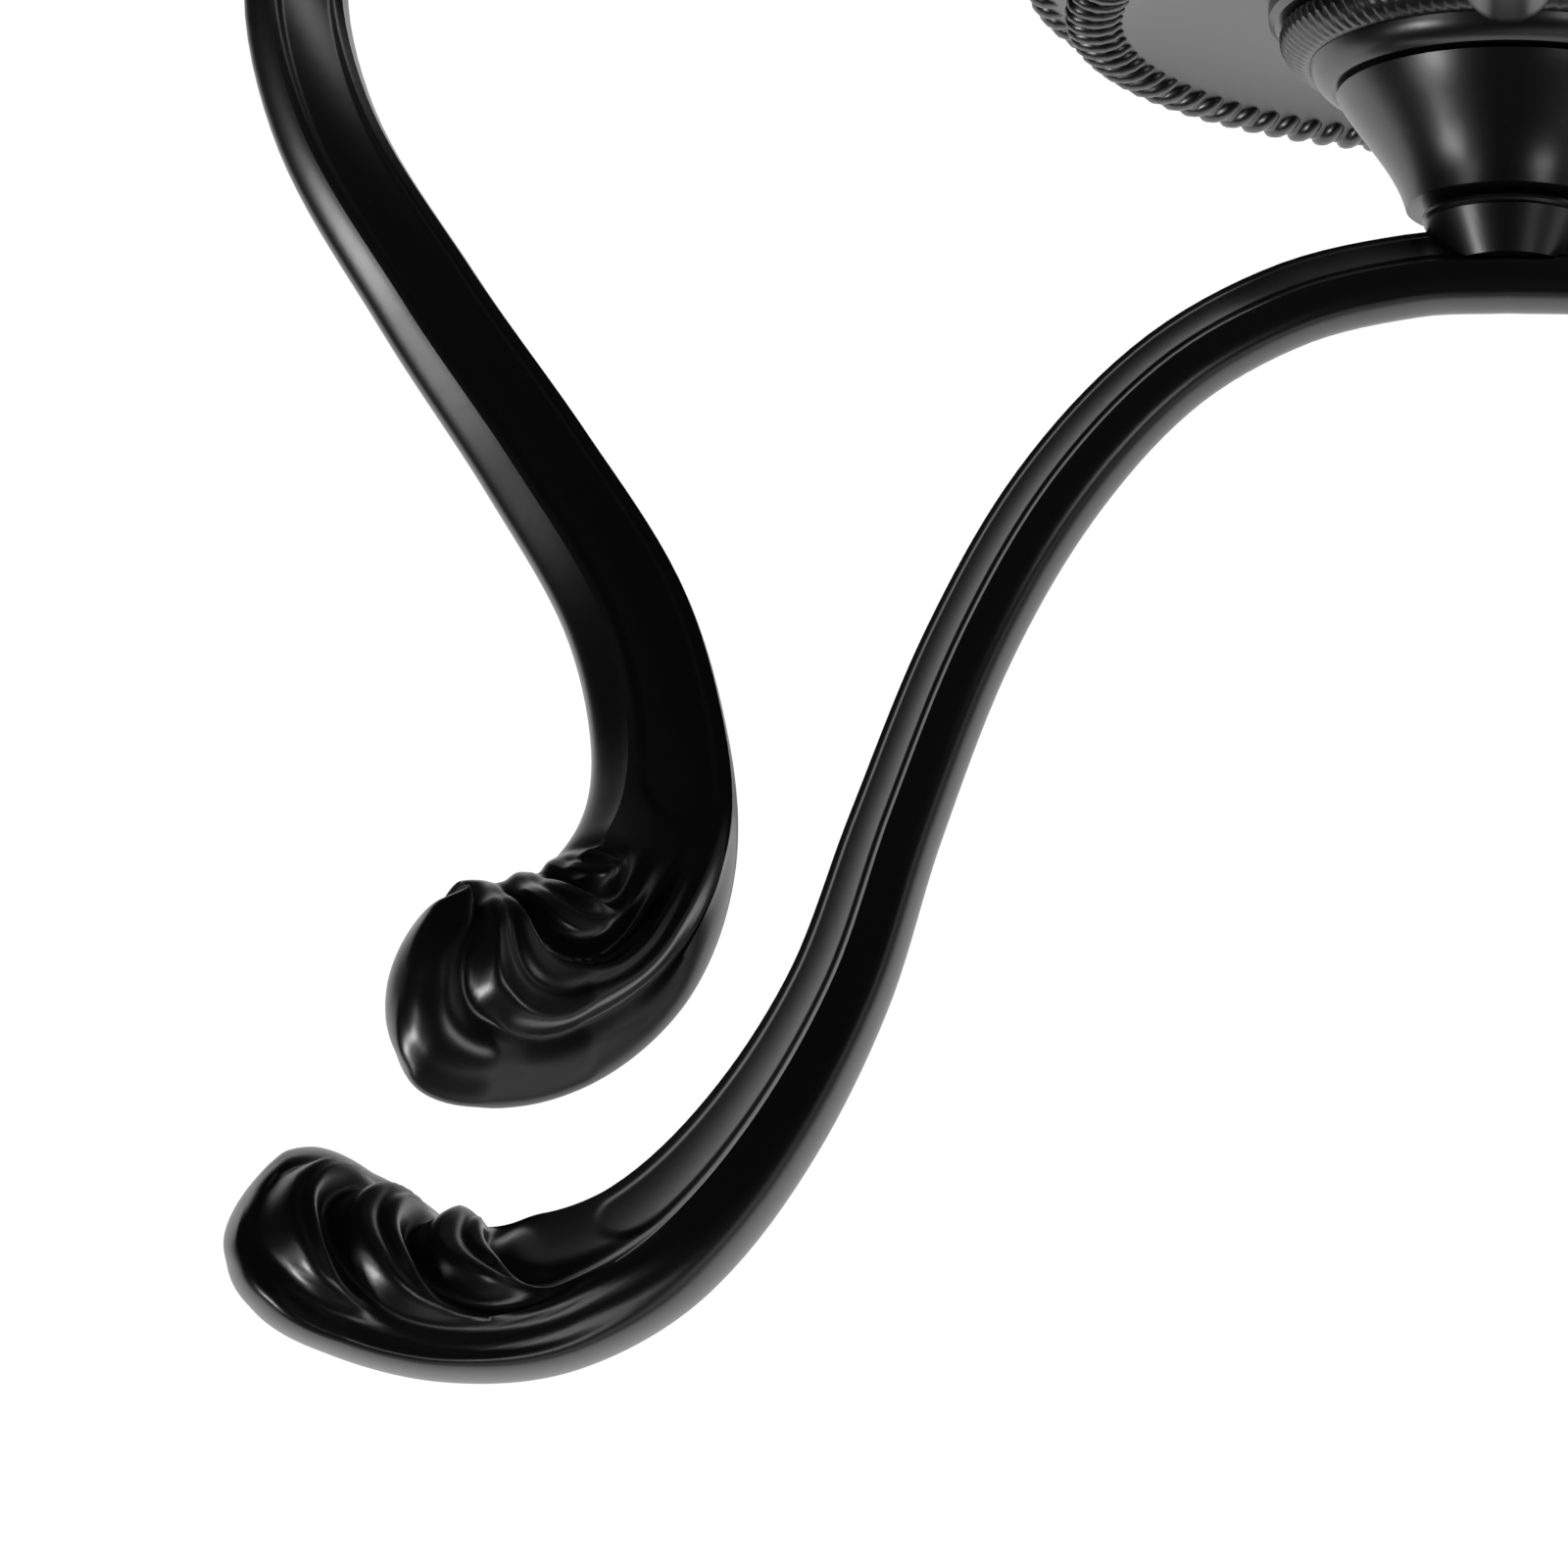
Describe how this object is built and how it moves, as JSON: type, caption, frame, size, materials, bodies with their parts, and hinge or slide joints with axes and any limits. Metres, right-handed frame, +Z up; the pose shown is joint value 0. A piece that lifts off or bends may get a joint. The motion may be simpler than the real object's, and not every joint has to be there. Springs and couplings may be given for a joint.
{
  "type": "wall coat hook",
  "caption": "Black ornate wall coat hook: rope-edged rosette, flared neck and paired S-shaped arms with leaf tips.",
  "frame": {"origin": "where the axis of the rosette and its central stud meets the wall", "axes": "+Z up along the wall; -Y straight out from the wall, so +Y points into the wall; +X to the right of a person who faces the wall"},
  "size_m": [0.1542, 0.0933, 0.0823],
  "materials": {
    "black_coat": "satin black coating on cast zinc alloy",
    "steel": "bright zinc-plated steel"
  },
  "bodies": {
    "root": {"wall_bracket": "steel", "central_stud": "steel", "back_rosette": "black_coat", "front_rosette": "black_coat", "boss_ring": "black_coat", "fluted_collar": "black_coat", "collar_band": "black_coat", "flared_neck": "black_coat", "neck_bead": "black_coat", "lower_arm_stud": "steel", "lower_arms": "black_coat", "stem_screw": "steel", "upper_stem": "black_coat", "upper_arm_stud": "steel", "upper_arms": "black_coat"}
  },
  "joints": []
}
